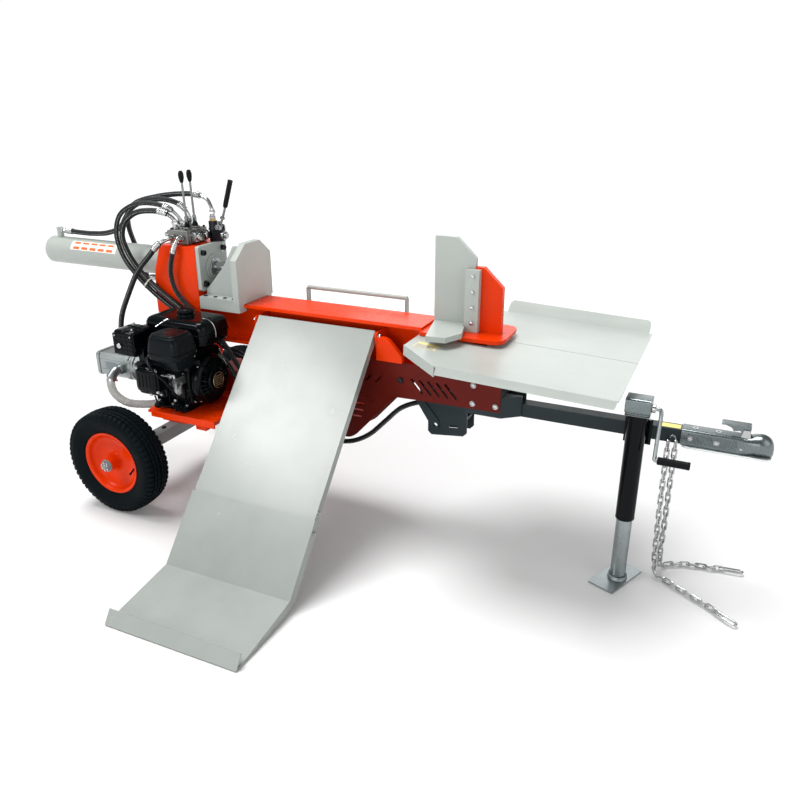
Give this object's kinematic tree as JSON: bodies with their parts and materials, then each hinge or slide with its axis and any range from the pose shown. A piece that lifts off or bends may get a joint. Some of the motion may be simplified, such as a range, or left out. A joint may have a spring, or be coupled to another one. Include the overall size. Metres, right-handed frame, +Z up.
{
  "type": "log splitter",
  "caption": "Towable hydraulic log splitter with petrol engine, horizontal ram beam, hinged log lift, lifting four-way wedge, outfeed tables, tow tongue and swivel jack.",
  "frame": {"origin": "middle of the machine's footprint, at ground level", "axes": "+X towards the tow coupler, +Y towards the side away from the log lift, +Z up"},
  "size_m": [2.824, 1.466, 1.2326],
  "materials": {
    "orange_paint": "glossy powder coat",
    "grey_paint": "semi-gloss powder coat",
    "dark_paint": "satin powder coat",
    "black_paint": "gloss enamel",
    "zinc_plate": "bright zinc plate",
    "chrome_rod": "ground and polished",
    "cast_alloy": "as cast",
    "black_plastic": "moulded",
    "hose_rubber": "satin braid-reinforced rubber",
    "clear_hose": "clear wall with a wire coil",
    "tyre_rubber": "new tread"
  },
  "bodies": {
    "chassis": {"beam": "orange_paint", "frame": "orange_paint", "axle": "grey_paint", "skirt_right": "orange_paint", "skirt_left": "orange_paint", "reservoir": "orange_paint", "wedge_base": "orange_paint", "wedge_keeper_right": "grey_paint", "wedge_keeper_left": "grey_paint", "table_right": "grey_paint", "table_left": "grey_paint", "tongue_mount": "dark_paint", "tongue": "dark_paint", "coupler": "zinc_plate", "catch_rail": "grey_paint", "main_cylinder": "grey_paint", "engine_block": "black_paint", "fuel_tank": "black_paint", "muffler": "black_paint", "air_cleaner": "black_plastic", "recoil_cover": "black_paint", "pump": "cast_alloy", "main_valve": "cast_alloy", "twin_valve": "cast_alloy", "jack_bracket": "black_paint", "wedge_cylinder": "dark_paint", "suction_hose": "clear_hose", "pressure_hose": "hose_rubber", "return_hose": "hose_rubber", "rear_hose": "hose_rubber", "front_hose": "hose_rubber", "lift_hose": "hose_rubber", "wedge_hose": "hose_rubber", "chain_long": "zinc_plate", "chain_short": "zinc_plate"},
    "wheel_right": {"rim_right": "orange_paint", "tyre_right": "tyre_rubber"},
    "wheel_left": {"rim_left": "orange_paint", "tyre_left": "tyre_rubber"},
    "ram": {"ram_rod": "chrome_rod", "pusher": "grey_paint", "gib_right": "grey_paint", "gib_left": "grey_paint"},
    "wedge": {"wedge_blade": "grey_paint"},
    "log_lift": {"lift_upper": "grey_paint", "lift_lower": "grey_paint"},
    "lift_cylinder": {"lift_barrel": "black_paint"},
    "lift_piston": {"lift_rod": "chrome_rod"},
    "ram_control": {"main_lever": "black_plastic"},
    "lift_control": {"lift_lever": "black_plastic"},
    "wedge_control": {"wedge_lever": "black_plastic"},
    "jack": {"jack_tube": "black_paint"},
    "jack_foot": {"jack_leg": "zinc_plate"},
    "crank": {"jack_crank": "black_plastic"},
    "latch": {"coupler_latch": "zinc_plate"},
    "engine_shaft": {"crankshaft": "cast_alloy"},
    "filler_cap": {"fuel_cap": "black_plastic"},
    "starter_grip": {"recoil_handle": "black_plastic"},
    "throttle": {"throttle_lever": "zinc_plate"},
    "choke": {"choke_lever": "zinc_plate"}
  },
  "joints": [
    {"name": "wheel_right_spin", "type": "hinge", "parent": "chassis", "child": "wheel_right", "pos_m": [-0.802, -0.157, 0.205], "axis": [0, 1, 0], "continuous": true},
    {"name": "wheel_left_spin", "type": "hinge", "parent": "chassis", "child": "wheel_left", "pos_m": [-0.802, 0.659, 0.205], "axis": [0, 1, 0], "continuous": true},
    {"name": "ram_stroke", "type": "slide", "parent": "chassis", "child": "ram", "axis": [1, 0, 0], "range_m": [0, 0.62]},
    {"name": "wedge_raise", "type": "slide", "parent": "chassis", "child": "wedge", "axis": [0, 0, 1], "range_m": [0, 0.18]},
    {"name": "lift_raise", "type": "hinge", "parent": "chassis", "child": "log_lift", "pos_m": [-0.102, 0.1696, 0.7237], "axis": [-1, 0, 0], "range_deg": [0, 58]},
    {"name": "lift_cylinder_tilt", "type": "hinge", "parent": "chassis", "child": "lift_cylinder", "pos_m": [-0.098, 0.139, 0.336], "axis": [1, 0, 0], "range_deg": [0, 8.3]},
    {"name": "lift_piston_stroke", "type": "slide", "parent": "lift_cylinder", "child": "lift_piston", "axis": [0, -0.1163, 0.9932], "range_m": [0, 0.1188]},
    {"name": "ram_lever_tilt", "type": "hinge", "parent": "chassis", "child": "ram_control", "pos_m": [-0.582, 0.298, 1.0263], "axis": [0, 1, 0], "range_deg": [-20, 20], "stiffness_Nm_per_rad": 6},
    {"name": "lift_lever_tilt", "type": "hinge", "parent": "chassis", "child": "lift_control", "pos_m": [-0.678, 0.225, 1.0323], "axis": [0, 1, 0], "range_deg": [-15, 15], "stiffness_Nm_per_rad": 4},
    {"name": "wedge_lever_tilt", "type": "hinge", "parent": "chassis", "child": "wedge_control", "pos_m": [-0.678, 0.271, 1.0323], "axis": [0, 1, 0], "range_deg": [-15, 15], "stiffness_Nm_per_rad": 4},
    {"name": "jack_swivel", "type": "hinge", "parent": "chassis", "child": "jack", "pos_m": [1.023, 0.191, 0.5135], "axis": [0, 1, 0], "range_deg": [0, 60]},
    {"name": "jack_retract", "type": "slide", "parent": "jack", "child": "jack_foot", "axis": [0, 0, 1], "range_m": [0, 0.19]},
    {"name": "jack_crank_turn", "type": "hinge", "parent": "jack", "child": "crank", "pos_m": [1.078, 0.163, 0.618], "axis": [-1, 0, 0], "range_deg": [0, 180]},
    {"name": "coupler_latch_lift", "type": "hinge", "parent": "chassis", "child": "latch", "pos_m": [1.33, 0.251, 0.556], "axis": [0, 1, 0], "range_deg": [0, 60]},
    {"name": "engine_turn", "type": "hinge", "parent": "chassis", "child": "engine_shaft", "pos_m": [-0.702, 0.031, 0.519], "axis": [1, 0, 0], "continuous": true},
    {"name": "fuel_cap_turn", "type": "hinge", "parent": "chassis", "child": "filler_cap", "pos_m": [-0.576, 0.047, 0.764], "axis": [0, 0, 1], "range_deg": [0, 90]},
    {"name": "starter_pull", "type": "slide", "parent": "chassis", "child": "starter_grip", "axis": [0, -0.6609, 0.7504], "range_m": [0, 0.02], "stiffness_N_per_m": 40},
    {"name": "throttle_turn", "type": "hinge", "parent": "chassis", "child": "throttle", "pos_m": [-0.491, -0.081, 0.59], "axis": [1, 0, 0], "range_deg": [-10, 25]},
    {"name": "choke_turn", "type": "hinge", "parent": "chassis", "child": "choke", "pos_m": [-0.507, -0.095, 0.54], "axis": [1, 0, 0], "range_deg": [0, 40]}
  ],
  "couplings": [
    {"joint": "lift_cylinder_tilt", "follows": "lift_raise", "ratio": 0.14116},
    {"joint": "lift_piston_stroke", "follows": "lift_raise", "m_per_rad": 0.11708},
    {"joint": "jack_retract", "follows": "jack_crank_turn", "m_per_rad": 0.060478}
  ]
}
